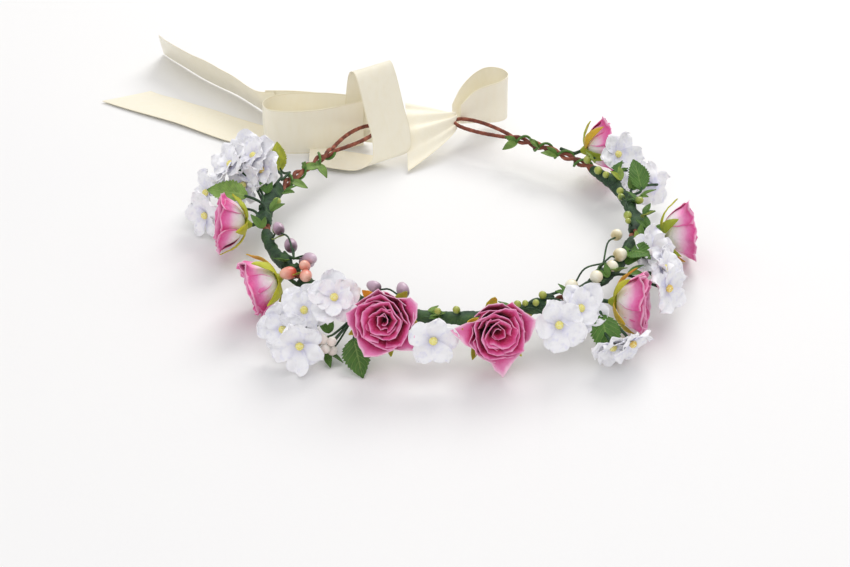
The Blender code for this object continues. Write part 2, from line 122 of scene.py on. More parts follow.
def dye(red, green, blue):
    """A colour from its screen values, 0 to 255."""
    linear = [((c / 255 + 0.055) / 1.055) ** 2.4 if c > 10 else c / 3295 for c in (red, green, blue)]
    return (*linear, 1.0)


def start_finish(name):
    material = bpy.data.materials.new(name)
    material.use_nodes = True
    return material, Shade(material.node_tree)


def end_finish(material, colour, roughness, height, relief, constants=()):
    """Links what varies and sets what doesn't; height's full range stands relief metres proud."""
    bump = height.node("ShaderNodeBump", inputs={"Height": height, "Distance": relief, "Strength": 1.0})
    inputs = {"Base Color": colour, "Roughness": roughness, "Normal": bump, **dict(constants)}
    height.set(material.node_tree.nodes["Principled BSDF"], inputs)


def put(name, data, place=(0, 0, 0), target=None):
    """A new object in the scene, turned to look at target if there is one."""
    made = bpy.data.objects.new(name, data)
    made.location = place
    if target is not None:
        made.rotation_euler = (Vector(target) - Vector(place)).to_track_quat("-Z", "Y").to_euler()
    bpy.context.scene.collection.objects.link(made)
    return made


table_finish, shade = start_finish("pale_table")
blotch = shade.speckle(0.25, detail=2.0)
end_finish(table_finish, blotch.mix(dye(243, 243, 242), dye(239, 239, 240)), 0.7,
           shade.speckle(0.0012), 0.00004, {"Specular IOR Level": 0.2})
table_mesh = bpy.data.meshes.new("table")
TABLE_REACH = 4.0  # each way, in metres
table_corners = [(x, y, 0) for y in (-TABLE_REACH, TABLE_REACH) for x in (-TABLE_REACH, TABLE_REACH)]
table_mesh.from_pydata(table_corners, [], [(0, 1, 3, 2)])
table_mesh.materials.append(table_finish)
put("table", table_mesh)

room = bpy.data.worlds.new("bright_room")
room.use_nodes = True
walls = room.node_tree.nodes["Background"].inputs
walls["Color"].default_value = dye(253, 252, 253)
walls["Strength"].default_value = 0.61
bpy.context.scene.world = room
bpy.context.scene.view_settings.view_transform = "Standard"

# Each light: name, where it stands, how wide it is, its power and its colour.
for name, place, width, power, colour in (
    ("window", (0.55, 0.85, 1.0), 0.8, 9.7, (255, 253, 248)),
    ("ceiling", (0.0, -0.2, 1.5), 1.6, 5.9, (252, 252, 255)),
    ("wall", (-0.5, -1.1, 0.7), 0.7, 1.8, (255, 253, 250)),
):
    lamp = bpy.data.lights.new(name, "AREA")
    lamp.size = width
    lamp.energy = power
    lamp.color = dye(*colour)[:3]
    put(name, lamp, place, target=(0, 0, 0))

CAMERA_PLACE = (-0.11385, -0.58117, 0.34938)
CAMERA_AIM = (-0.02093, -0.05419, 0.015)
camera = put("camera", bpy.data.cameras.new("camera"), CAMERA_PLACE, CAMERA_AIM)
camera.data.lens = 63.53
camera.data.clip_start = 0.01
bpy.context.scene.camera = camera

# Ring wire: one paper-covered craft wire, folded at both ends into long eyes, its two strands
# twisted round each other. The paper cover is wound on in a spiral, rust brown and matt.
RING_RADIUS = 83 * MM
RING_HEIGHT = 15 * MM
LEFT_END, RIGHT_END = 120.0, 419.0  # degrees round the ring
FLARE, FLARE_SPAN = 4 * MM, 20.0  # how far the ends turn outward, over how many degrees
WIRE_RADIUS = 1.0 * MM
STRAND_OFFSET = 1.175 * MM
TWISTS = 24
WIRE_JOINT = 267.0  # where the wire's two ends meet, under tape
WIRE_LENGTH = 1.03  # in metres, end to end
WIRE_POINTS = 1050
WIRE_SIDES = 9
COVER_PITCH = 3.2 * MM
EYE_LENGTH, EYE_WIDTH, EYE_TURN = 33 * MM, 9.5 * MM, 14.0
EYE_POINTS = 30


def facing(degrees, lift=0.0):
    turn, rise = math.radians(degrees), math.radians(lift)
    return np.array((math.cos(rise) * math.cos(turn), math.cos(rise) * math.sin(turn), math.sin(rise)))


def ring_radius(degrees):
    """The ring's radius, which grows where its ends turn outward."""
    from_left = (degrees - LEFT_END) % 360
    near_end = min(from_left, RIGHT_END - LEFT_END - from_left)
    return RING_RADIUS + FLARE * max(0.0, 1 - near_end / FLARE_SPAN) ** 2


def by_ring(degrees, out=0.0, height=0.0):
    """A point outside the ring's centre line and over it."""
    return (ring_radius(degrees) + out) * facing(degrees) + np.array((0, 0, RING_HEIGHT + height))


def degrees_of(point):
    return math.degrees(math.atan2(point[1], point[0]))


def unit(vector):
    return vector / np.maximum(np.linalg.norm(vector, axis=-1, keepdims=True), 1e-12)


def square_to(way):
    """Two directions square to way and to each other."""
    side = unit(np.cross(way, (0.31, 0.12, 0.94)))
    return side, np.cross(way, side)


def spokes_along(path, sides):
    """Directions square to a path at each of its points, evenly round it and free of twist."""
    way = unit(np.gradient(path, axis=0))
    side = [unit(np.cross(way[0], (0.12, 0.31, 0.94)))]
    for step in way[1:]:
        side.append(unit(side[-1] - step * (side[-1] @ step)))
    up = np.cross(way, side)
    turns = 2 * np.pi * np.arange(sides)[:, None] / sides
    return np.cos(turns) * np.array(side)[:, None] + np.sin(turns) * up[:, None]


def smooth_path(knots, count):
    """Evenly spaced points on a smooth curve through the knots."""
    knots = np.array(knots, float)
    ends = np.concatenate([[2 * knots[0] - knots[1]], knots, [2 * knots[-1] - knots[-2]]])
    made = []
    for a, b, c, d in zip(ends, ends[1:], ends[2:], ends[3:]):
        bow, twist = 2 * a - 5 * b + 4 * c - d, 3 * b - a - 3 * c + d
        for t in np.linspace(0, 1, 16, endpoint=False):
            made.append(0.5 * (2 * b + (c - a) * t + bow * t**2 + twist * t**3))
    made = np.array([*made, knots[-1]])
    run = np.concatenate([[0], np.cumsum(np.linalg.norm(np.diff(made, axis=0), axis=1))])
    evenly = np.linspace(0, run[-1], count)
    return np.stack([np.interp(evenly, run, column) for column in made.T], axis=1)


def wobble(points, size, seed, depth=2):
    """Noise from about -1 to 1 at each point, with lumps of this size in metres."""
    flat = np.asarray(points, float).reshape(-1, 3) / size + seed * 7.31
    made = np.array([noise.fractal(Vector(p), 0.5, 2.0, depth) for p in flat])
    return made.reshape(np.shape(points)[:-1])


class Form:
    """Gathers sheets, tubes and turned shapes, in metres, into the mesh of one piece."""

    def __init__(self):
        self.points, self.faces, self.finishes, self.facts = [], [], [], []
        self.count = 0

    def add(self, points, faces, finish, facts):
        """facts holds each point's named values, which the finishes read."""
        self.points.append(points)
        self.faces += [[self.count + i for i in face] for face in faces]
        self.finishes += [finish] * len(faces)
        self.facts.append({fact: np.broadcast_to(value, len(points)) for fact, value in facts.items()})
        self.count += len(points)

    def sheet(self, grid, thickness, finish=0, **facts):
        """A thin sheet over a grid of points, closed at its edges. Fact "inner" is 1 on the face
        that looks along rows x columns and 0 on the other."""
        rows, columns = grid.shape[:2]
        normal = unit(np.cross(np.gradient(grid, axis=0), np.gradient(grid, axis=1)))
        points = [(grid + face * thickness / 2 * normal).reshape(-1, 3) for face in (1, -1)]
        back = rows * columns
        spot = np.arange(back).reshape(rows, columns)
        faces = []
        for r in range(rows - 1):
            for c in range(columns - 1):
                quad = (spot[r, c], spot[r + 1, c], spot[r + 1, c + 1], spot[r, c + 1])
                faces += [quad, [back + i for i in quad[::-1]]]
        edge = [*spot[:, 0], *spot[-1, 1:], *spot[-2::-1, -1], *spot[0, -2:0:-1]]
        faces += [(j, i, back + i, back + j) for i, j in zip(edge, edge[1:] + edge[:1])]
        for fact, value in facts.items():
            facts[fact] = np.tile(np.broadcast_to(value, (rows, columns)).ravel(), 2)
        facts["inner"] = np.repeat([1.0, 0.0], back)
        self.add(np.concatenate(points), faces, finish, facts)

    def tube(self, path, radius, sides=8, finish=0, **facts):
        """A closed tube along a path. Its radius is one number, or one for each point, or one for
        each point and side."""
        radius = np.asarray(radius, float)
        if radius.ndim == 1:
            radius = radius[:, None]
        radius = np.broadcast_to(radius, (len(path), sides))
        rings = path[:, None] + radius[..., None] * spokes_along(path, sides)
        spot = np.arange(len(path) * sides).reshape(-1, sides)
        faces = [spot[0, ::-1], spot[-1]]
        for r in range(len(path) - 1):
            faces += [(spot[r + 1, c], spot[r + 1, c - 1], spot[r, c - 1], spot[r, c]) for c in range(sides)]
        for fact, value in facts.items():
            facts[fact] = np.repeat(np.broadcast_to(value, len(path)), sides)
        self.add(rings.reshape(-1, 3), faces, finish, facts)

    def turned(self, profile, place, way, sides=12, finish=0, **facts):
        """A closed shape turned about way through place, from (radius, height) points, bottom up,
        both ends on the axis."""
        side, up = square_to(way)
        spokes = [math.cos(t) * side + math.sin(t) * up for t in 2 * np.pi * np.arange(sides) / sides]
        heights = [profile[0][1]]
        points = [place + profile[0][1] * way]
        for radius, height in profile[1:-1]:
            heights += [height] * sides
            points += [place + height * way + radius * spoke for spoke in spokes]
        heights = np.array([*heights, profile[-1][1]])
        points.append(place + profile[-1][1] * way)
        spot = 1 + np.arange(len(points) - 2).reshape(-1, sides)
        after = np.roll(spot, -1, axis=1)
        last = len(points) - 1
        faces = [(0, after[0, c], spot[0, c]) for c in range(sides)]
        faces += [(last, spot[-1, c], after[-1, c]) for c in range(sides)]
        for r in range(len(spot) - 1):
            faces += [(spot[r, c], after[r, c], after[r + 1, c], spot[r + 1, c]) for c in range(sides)]
        facts["up"] = (heights - heights.min()) / np.ptp(heights)
        self.add(np.array(points), faces, finish, facts)

    def piece(self, name, body, slot, finishes, replaced=()):
        """The piece itself: it rides on a body and stands for CAD nodes, which it hides; slot is not used."""
        mesh = bpy.data.meshes.new(name)
        faces = [list(map(int, face)) for face in self.faces]
        mesh.from_pydata(np.concatenate(self.points).tolist(), [], faces)
        mesh.polygons.foreach_set("material_index", self.finishes)
        mesh.polygons.foreach_set("use_smooth", [True] * len(mesh.polygons))
        mesh.set_sharp_from_angle(angle=math.radians(55))
        for fact in sorted({fact for facts in self.facts for fact in facts}):
            values = [held.get(fact, np.zeros(len(points))) for held, points in zip(self.facts, self.points)]
            carried = mesh.attributes.new(fact, "FLOAT", "POINT")
            carried.data.foreach_set("value", np.concatenate(values).astype(np.float32))
        for finish in finishes:
            mesh.materials.append(finish)
        made = put(name, mesh)
        if body:
            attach(made, body)
        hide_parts(*replaced)
        return made


def strand_point(degrees, side):
    phase = 2 * math.pi * TWISTS * (degrees - LEFT_END) / (RIGHT_END - LEFT_END)
    offset = side * STRAND_OFFSET
    return by_ring(degrees, offset * math.cos(phase), offset * math.sin(phase))


def eye_points(left):
    """The wire's way round one eye, which points back from the ring's end and a little outward."""
    degrees = LEFT_END if left else RIGHT_END
    turn = degrees - 90 + EYE_TURN if left else degrees + 90 - EYE_TURN
    made = []
    for step in range(1, EYE_POINTS):
        sweep = 2 * math.pi * step / EYE_POINTS
        reach = EYE_LENGTH * (1 - math.cos(sweep)) / 2
        spread = 0.62 * EYE_WIDTH * math.sin(sweep) * abs(math.sin(sweep / 2))
        spread += STRAND_OFFSET * math.cos(sweep / 2)
        made.append(by_ring(degrees) + reach * facing(turn) + spread * facing(turn + (90 if left else -90)))
    return made


def wire_strand(start, end, side):
    count = round(abs(end - start))
    return [strand_point(start + (end - start) * i / count, side) for i in range(count + 1)]


wire_paper, shade = start_finish("wire_paper")
wear = shade.speckle(0.004, detail=4.0)
fibre = shade.speckle(0.0006, detail=2.0)
rust = wear.ramp((0.3, dye(92, 48, 38)), (0.5, dye(132, 70, 52)), (0.68, dye(176, 108, 84)))
end_finish(wire_paper, rust, 0.8, fibre, 0.00012)
wire_knots = [
    *wire_strand(WIRE_JOINT + 1, RIGHT_END, 1),
    *eye_points(left=False),
    *wire_strand(RIGHT_END, LEFT_END, -1),
    *eye_points(left=True)[::-1],
    *wire_strand(LEFT_END, WIRE_JOINT - 1, 1),
]
wire_path = smooth_path(wire_knots, WIRE_POINTS)
wire_run = np.arange(WIRE_POINTS)[:, None] / WIRE_POINTS * WIRE_LENGTH
winding = (wire_run / COVER_PITCH - np.arange(WIRE_SIDES) / WIRE_SIDES) % 1.0
cover = 0.93 + 0.11 * winding**2 + 0.05 * wobble(wire_path, 0.004, 1)[:, None]
wire_form = Form()
wire_form.tube(wire_path, WIRE_RADIUS * cover, WIRE_SIDES)
wire_form.piece("ring_wire", "crown", "wire_paper", [wire_paper], ["base_wire"])

# Floral tape: dark green crepe tape, wound in a spiral round the wires and over the foot of each
# flower's stem, so it stands out in a lump wherever a stem goes under it.
TAPE_RUNS = ((152, 176), (180, 207), (211, 244), (248, 290), (294, 336), (340, 384))
TAPE_PITCH = 5.5 * MM
TAPE_RADIUS = 2.4 * MM
TAPE_SIDES = 20
TAPE_STEP = 0.45  # degrees of the ring
LAP_HEIGHT = 0.32 * MM
TAPERED_END = 2.5 * MM
CREASE_HEIGHT = 0.36 * MM
STEM_SWELL, STEM_SPAN = 2.3 * MM, 3.4  # a lump's height, and its length in degrees
STEM_DISTANCE = 4.075 * MM  # from the ring's centre line to a bound stem's


def corners_of(node):
    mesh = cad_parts[node].data
    points = np.empty(len(mesh.vertices) * 3, np.float32)
    mesh.vertices.foreach_get("co", points)
    return points.reshape(-1, 3).astype(float)


def binding_of(node):
    """The middle of the stretch of a stem that is bound to the ring."""
    points = corners_of(node)
    gaps = np.array([np.linalg.norm(p - by_ring(degrees_of(p))) for p in points])
    return points[abs(gaps - STEM_DISTANCE) < 0.55 * MM].mean(0)


bindings = {}
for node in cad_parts:
    if node.startswith(("floret", "leaf", "berries")) or node.endswith("calyx"):
        bindings[node] = binding_of(node)

floral_tape, shade = start_finish("floral_tape")
crepe = shade.speckle(0.0009, detail=3.0)
tone = shade.speckle(0.006, detail=4.0)
tape_colour = tone.ramp((0.3, dye(20, 40, 28)), (0.5, dye(34, 64, 40)), (0.7, dye(70, 102, 52)))
end_finish(floral_tape, crepe.between(0.4, 0.8).mix(tape_colour, dye(50, 84, 50)), 0.72, crepe + tone, 0.0002)

for number, (first, last) in enumerate(TAPE_RUNS, 1):
    bends = np.arange(first, last + 0.01, TAPE_STEP)
    path = np.array([by_ring(bend) for bend in bends])
    spokes = spokes_along(path, TAPE_SIDES)
    swell = np.zeros((len(bends), TAPE_SIDES))
    for bound in bindings.values():
        degrees = degrees_of(bound)
        to_stem = unit(bound - by_ring(degrees))
        near = np.exp(-(((bends - degrees + 180) % 360 - 180) / STEM_SPAN) ** 2)[:, None]
        swell = np.maximum(swell, near * np.clip(spokes @ to_stem, 0, 1) ** 3)
    run = np.arange(len(bends)) * math.radians(TAPE_STEP) * RING_RADIUS
    lap = (run[:, None] / TAPE_PITCH - np.arange(TAPE_SIDES) / TAPE_SIDES) % 1.0
    ends = np.minimum(1, np.minimum(run, run[::-1]) / TAPERED_END)[:, None]
    radius = TAPE_RADIUS + LAP_HEIGHT * lap**1.5 * ends + STEM_SWELL * swell
    skin = path[:, None] + radius[..., None] * spokes
    radius = radius + CREASE_HEIGHT * wobble(skin, 0.004, number, 3) - 0.35 * MM * (1 - ends)
    tape_form = Form()
    tape_form.tube(path, radius, TAPE_SIDES)
    tape_form.piece(f"tape_run_{number}", "crown", "floral_tape", [floral_tape], [f"tape_wrap_{number}"])

# Vines: at the bare ends of the ring a thin green wire winds round the brown ones, with small
# pointed paper leaves twisted on.
VINE_RADIUS = 0.65 * MM
VINE_WINDING = 2.7 * MM
VINE_PITCH = 8.5  # degrees of the ring for each turn
VINES = (
    ("vine_left", (151, 121), ((143, -7, 0), (134, -7, 2), (128, -8, -3))),
    ("vine_right", (26, 58), ((40, -7, 2), (50, -7, 5), (56, -8, -2))),
)


def blade(form, base, way, face, length, width, teeth, tone):
    """A pointed leaf, folded a little along its midrib and quilted between its side veins."""
    face = unit(face - (face @ way) * way)
    across = np.cross(face, way)
    s = np.linspace(0, 1, 10 + 3 * teeth)[:, None]
    t = np.linspace(-1, 1, 11)[None, :]
    half = np.maximum(0.5 * width * np.sin(np.pi * s**0.8) ** 0.85, 0.12 * MM)
    half = half * (1 + 0.22 * ((s * teeth) % 1.0 - 0.5) * t**4) if teeth else half * np.ones_like(t)
    quilt = 0.03 * width * np.cos(2 * np.pi * (6 * s - 2.2 * abs(t))) * abs(t) * (1 - t**2)
    lift = 0.15 * width * abs(t) ** 1.4 * np.sin(np.pi * s) + quilt - 0.1 * length * s**2
    grid = base + s[..., None] * length * way + (half * t)[..., None] * across + lift[..., None] * face
    grid = grid + 0.04 * width * wobble(grid, 0.4 * length, tone * 10)[..., None] * face
    form.sheet(grid, 0.3 * MM, along=s, across=t, tone=tone)


leaf_paper, shade = start_finish("leaf_paper")
along, across, tone = shade.fact("along"), shade.fact("across"), shade.fact("tone")
reach = across.maths("ABSOLUTE")
vein = (along * 7 - reach * 2.4).maths("PINGPONG", 0.5)
ribs = 1 - (vein.between(0.03, 0.12) * reach.between(0.02, 0.09))
mottle = shade.speckle(0.003, detail=4.0)
green = (tone * 0.5).ramp((0.0, dye(50, 92, 32)), (0.25, dye(88, 134, 48)), (0.5, dye(150, 182, 84)),
                          (0.8, dye(206, 210, 60)))
leaf_colour = (mottle.between(0.3, 0.75) * 0.45).mix(green, dye(40, 74, 28))
leaf_colour = (ribs * 0.4).mix(leaf_colour, dye(158, 186, 104))
end_finish(leaf_paper, leaf_colour, 0.55, ribs * 0.7 + mottle * 0.5, 0.00025)

for name, (first, last), leaves in VINES:
    bends = np.linspace(first, last, 90)
    phase = np.radians(360 * (bends - first) / VINE_PITCH)
    path = [by_ring(d, VINE_WINDING * math.cos(p), VINE_WINDING * math.sin(p)) for d, p in zip(bends, phase)]
    vine_form = Form()
    vine_form.tube(np.array(path), VINE_RADIUS, sides=8, along=0.5, across=0.5, tone=0.35)
    for turn, (degrees, out, height) in enumerate(leaves):
        tip = by_ring(degrees, out * MM, height * MM)
        root = min(path, key=lambda point: np.linalg.norm(point - tip))
        way = unit(tip - root + (-1) ** turn * 0.004 * facing(degrees + 90))
        aside = unit(0.4 * way + facing(degrees + 90, 40))
        blade(vine_form, root - 1 * MM * way, way, np.array((0.2, -0.4, 0.9)), 9 * MM, 4.4 * MM, 0, 0.8)
        blade(vine_form, root, aside, facing(degrees), 6.5 * MM, 3.4 * MM, 0, 0.6)
    vine_form.piece(name + "_green", "crown", "vine_paper", [leaf_paper], [name])

# Leaves: stiff green paper, die-cut with toothed edges and pressed veins, each glued to a wire
# stem that is covered with the same tape as the ring.
STEM_RADIUS = 0.62 * MM
STEM_BOUND = 7 * MM


def triangles_of(node):
    """A CAD node's points, and its triangles with their areas and normals."""
    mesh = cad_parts[node].data
    points = corners_of(node)
    mesh.calc_loop_triangles()
    faces = np.array([list(triangle.vertices) for triangle in mesh.loop_triangles])
    first, second, third = (points[faces[:, corner]] for corner in range(3))
    cross = np.cross(second - first, third - first)
    return points, faces, np.linalg.norm(cross, axis=1), unit(cross)


def flat_of(node):
    """The middle, the normal and the corners of the flat sheet in a CAD node."""
    points, faces, area, normal = triangles_of(node)
    same = normal @ normal.T > 0.9995
    best = (same * area).sum(1).argmax()
    corners = np.unique(np.round(points[faces[same[best]].ravel()], 6), axis=0)
    return corners.mean(0), normal[best], corners


def stem_path(node, end, into):
    """The line of a stem: along the ring where it is bound, then out to end, which it meets
    along into."""
    bound = bindings[node]
    degrees = degrees_of(bound)
    onward = (degrees_of(end) - degrees + 180) % 360 - 180
    along = facing(degrees + 90) * (1 if onward > 0 else -1)
    start = bound + STEM_BOUND / 2 * along
    pull = 0.4 * np.linalg.norm(end - start)
    t = np.linspace(0, 1, 14)[:, None]
    free = (1 - t) ** 3 * start + 3 * (1 - t) ** 2 * t * (start + pull * along)
    free = free + 3 * (1 - t) * t**2 * (end - pull * into) + t**3 * end
    return np.concatenate([[bound - STEM_BOUND / 2 * along], free])


LEAF_TEETH = 13
# Each leaf: how light it is, its share of the length, and how far it is bent aside, in mm.
LEAF_LOOKS = (
    (0.3, 0.8, (-1, 3, -2.2)), (0.45, 1.0, (0.5, -7, -3)), (0.8, 0.95, (0, 0, 0)),
    (0.4, 0.8, (3, 0, -2)), (0.45, 0.9, (0, 0, 0)), (1.6, 0.8, (0, 0, 0)),
)
for number, (tone, share, bent) in enumerate(LEAF_LOOKS, 1):
    node = f"leaf_{number}"
    middle, normal, corners = flat_of(node)
    if normal[2] < 0:
        normal = -normal
    way = np.linalg.svd(corners - middle)[2][0]
    if way @ (middle - bindings[node]) < 0:
        way = -way
    across = np.cross(normal, way)
    reach, spread = (corners - middle) @ way, (corners - middle) @ across
    length, width = share * np.ptp(reach), 1.1 * share * np.ptp(spread)
    base = middle + reach.min() * way + np.array(bent) * MM
    leaf_form = Form()
    blade(leaf_form, base, way, normal, length, width, LEAF_TEETH, tone)
    leaf_form.tube(stem_path(node, base + 1.5 * MM * way - 0.3 * MM * normal, way), STEM_RADIUS, finish=1)
    leaf_form.piece(f"green_leaf_{number}", "crown", "leaf_paper", [leaf_paper, floral_tape], [node])

# Berries and buds: lacquered beads on fine green wires, a few to a spray, each spray bound on by
# one stem.
BERRY_RADIUS = 2.25 * MM
FINE_WIRE_RADIUS = 0.4 * MM
# Each spray: node, kind, shape, then where each berry is: degrees round the ring, mm out and mm up.
BERRY_SPRAYS = (
    ("berries_left_mauve", "mauve", 1.5, ((-149, -4, 9), (-153, -6, 4), (-164, -6, 5), (-172, -4, 8))),
    ("berries_left_coral", "coral", 1.45, ((-143.5, 5, 8), (-147, 1, 9), (-149.5, 7, 6))),
    ("berries_front_white", "white", 1.0, ((-129, 25, -3), (-128, 26, -6.5), (-129.5, 27, -8.5),
                                           (-127.6, 22, -9.5), (-130.6, 25, -5.5), (-127, 24, -3.5))),
    ("berries_front_bud", "mauve", 1.4, ((-115.5, -7, 7), (-124, -4, 8))),
    ("berries_right_cream", "cream", 1.1,
     ((-54, 1, 4), (-47, 2, 5), (-41, 1, 6), (-30, -6, 6), (-63, -1, 4))),
    ("berries_right_coral", "lime", 1.2, ((-7, 3, 6), (-3, -4, 5), (-13, -3, 3))),
)
# Each kind: its colours at the stem, round the middle and at the tip.
BERRY_DYES = {
    "mauve": (dye(96, 70, 84), dye(188, 158, 180), dye(214, 190, 206)),
    "coral": (dye(196, 44, 24), dye(228, 116, 96), dye(246, 190, 170)),
    "white": (dye(214, 206, 194), dye(250, 246, 240), dye(240, 224, 214)),
    "cream": (dye(206, 190, 140), dye(250, 243, 216), dye(253, 250, 234)),
    "lime": (dye(80, 100, 36), dye(140, 160, 58), dye(176, 184, 84)),
}
BERRY_SIZES = {"mauve": 1.2, "coral": 1.15, "white": 0.98, "cream": 1.22, "lime": 0.8}
UNEVEN_SIZES = (1, 0.9, 1.06, 0.94)  # a spray's berries one after the other
berry_finishes = {}
for kind, (foot, skin, tip) in BERRY_DYES.items():
    berry_finishes[kind], shade = start_finish(f"berry_{kind}")
    cloud = shade.speckle(0.002, detail=3.0)
    up = shade.fact("up") + (cloud - 0.5) * 0.35
    end_finish(berry_finishes[kind], up.ramp((0.08, foot), (0.42, skin), (0.95, tip)), 0.32,
               shade.speckle(0.0016, detail=2.0), 0.00012, {"Coat Weight": 0.35, "Coat Roughness": 0.2})


def bead(form, place, way, size, stretch, taper, rings, sides):
    """A bead of this radius, stretched along way and slimmer at its tip by taper."""
    profile = [(size * math.sqrt(max(0.0, 1 - step**2)) * (1 - taper * step), size * stretch * step)
               for step in np.linspace(-1, 1, rings)]
    form.turned(profile, place, way, sides)


for node, kind, stretch, places in BERRY_SPRAYS:
    spray_form = Form()
    bound = bindings[node]
    degrees = degrees_of(bound)
    lift = bound - by_ring(degrees)
    along = facing(degrees + 90)
    fork = bound + (STEM_BOUND / 2 + 1.5 * MM) * along + 0.25 * lift
    spray_form.tube(smooth_path([bound - STEM_BOUND / 2 * along, bound, fork], 12), STEM_RADIUS, finish=1)
    for index, (berry_degrees, out, height) in enumerate(places):
        place = by_ring(berry_degrees, out * MM, height * MM)
        reach = np.linalg.norm(place - fork)
        way = unit(place - fork)
        size = BERRY_RADIUS * BERRY_SIZES[kind] * UNEVEN_SIZES[index % len(UNEVEN_SIZES)]
        bow_out = (fork + place) / 2 + 0.12 * reach * unit(lift)
        foot = place - 0.9 * size * stretch * way
        spray_form.tube(smooth_path([fork, bow_out, foot], 10), FINE_WIRE_RADIUS, finish=1)
        bead(spray_form, place, way, size, stretch, taper=0.12, rings=13, sides=16)
    spray_form.piece(node + "_beads", "crown", "berry_paint", [berry_finishes[kind], floral_tape], [node])

# Small leaves and green buds, twisted in between the flowers to hide the tape: degrees round the
# ring, mm out, mm up, the way that each points and its lift, then how light it is.
SMALL_LEAVES = (
    (-60, 5, 2, -20, 40, 0.5), (-47, 4, 3, -100, 50, 0.9), (-51, 4, 3, 120, 40, 0.5),
    (-45, 8, 2, -20, 30, 0.5), (-38, 5, 3, 150, 45, 0.6), (-35, 8, 2, -50, 30, 0.4),
    (-31, 5, 3, 60, 55, 1.0), (-20, 6, 3, 120, 40, 0.4), (-17, 9, 1, -40, 20, 0.6),
    (-5, 4, 3, 160, 35, 0.4), (0, 6, 2, -30, 30, 0.8), (7, 5, 3, 20, 40, 0.4), (12, 4, 3, 170, 50, 0.5),
    (20, 6, 2, -40, 30, 0.4), (-66, 3, 3, 160, 40, 0.5), (-41, 4, 2, 10, 45, 0.4), (-27, 4, 3, 40, 50, 0.7),
    (-24, 5, -2, -10, 20, 0.5), (-14, 4, 3, -60, 55, 1.2), (-9, 5, 0, 20, 30, 0.5), (3, 4, 3, 60, 40, 0.6),
    (9, 2, 4, 120, 50, 1.1), (15, 4, 2, 10, 50, 0.5), (23, 0, 4, 180, 60, 1.2), (-172, -2, 3, -60, 40, 1.1),
    (-178, 2, 4, 100, 60, 0.6), (170, -2, 3, 20, 40, 0.7), (160, 2, 4, 90, 50, 0.4),
    (155, -3, 1, -20, 30, 0.6), (-158, 1, 3, -100, 50, 0.5), (-149, 3, 4, -80, 40, 1.2),
    (-138, 2, 4, 30, 50, 0.9), (-130, 4, 3, 60, 50, 0.5), (-103, 2, 2, 170, 10, 0.5),
    (-107, 2, 2, 10, 20, 0.8), (-83, 2, 2, 160, 20, 0.4), (-75, 3, 2, 20, 20, 0.6),
    (-129, 20, -3, 100, 60, 0.5), (-129, 22, -11, -60, -20, 0.4),
)
small_leaf_form = Form()
chance = random.Random(9)
for degrees, out, height, turn, lift, tone in SMALL_LEAVES:
    root, way = by_ring(degrees, out * MM, height * MM), facing(turn, lift)
    for side in (-1, 1):
        aside = unit(way + 0.5 * side * facing(turn + 90))
        length = chance.uniform(5.5, 8.5) * MM
        leaf_tone = tone * chance.uniform(0.8, 1.2)
        blade(small_leaf_form, root, aside, facing(turn + 180, 60), length, 0.45 * length, 0, leaf_tone)
small_leaf_form.piece("small_leaves", "crown", "leaf_paper", [leaf_paper])

# Each bud: degrees round the ring, mm out and mm up.
GREEN_BUDS = (
    (-80, 3, 5.5), (-77.5, 5, 6), (-82, 2, 5), (-74, 1, 6), (-99, 2, 5), (-104, 4, 5.5), (13, -3, 5),
    (18, -3, 4), (1, -3, 5), (25, -2, 5), (-19, -3, 5), (-175, -4, 5), (165, -4, 4), (-134, -3, 6),
)
bud_form = Form()
for degrees, out, height in GREEN_BUDS:
    size = chance.uniform(1.3, 2.0) * MM
    place, root = by_ring(degrees, out * MM, height * MM), by_ring(degrees + 2)
    bead(bud_form, place, unit(place - root), size, 1.1, taper=0, rings=11, sides=14)
    bud_form.tube(smooth_path([root, (root + place) / 2, place], 8), 0.5 * MM, finish=1)
bud_form.piece("green_buds", "crown", "berry_paint", [berry_finishes["lime"], floral_tape])

# Florets: five round petals, pressed and cupped from stiffened white cloth, often with a second
# smaller layer, round a yellow bead on a taped wire.
FLORET_RADIUS = 11 * MM
floret_cloth, shade = start_finish("floret_cloth")
along = shade.fact("along")
crease = shade.speckle(0.0026, detail=3.0)
weave = shade.speckle(0.00035, detail=1.0)
# Painted shade: lavender toward each petal's foot, in the cup's hollow, and along the creases.
painted_fold_shade = (1 - along.between(0.05, 0.5)) * 0.6 + crease.between(0.5, 0.75) * 0.35
end_finish(floret_cloth, painted_fold_shade.mix(dye(252, 252, 255), dye(206, 205, 240)), 0.75,
           weave * 0.35 + crease, 0.00022, {"Sheen Weight": 0.2})
stamen, shade = start_finish("stamen")
grain = shade.speckle(0.0007, detail=2.0)
yellow = shade.fact("tone").mix(dye(246, 236, 130), dye(238, 190, 80))
end_finish(stamen, grain.between(0.4, 0.7).mix(yellow, dye(252, 248, 190)), 0.8, grain, 0.0004)


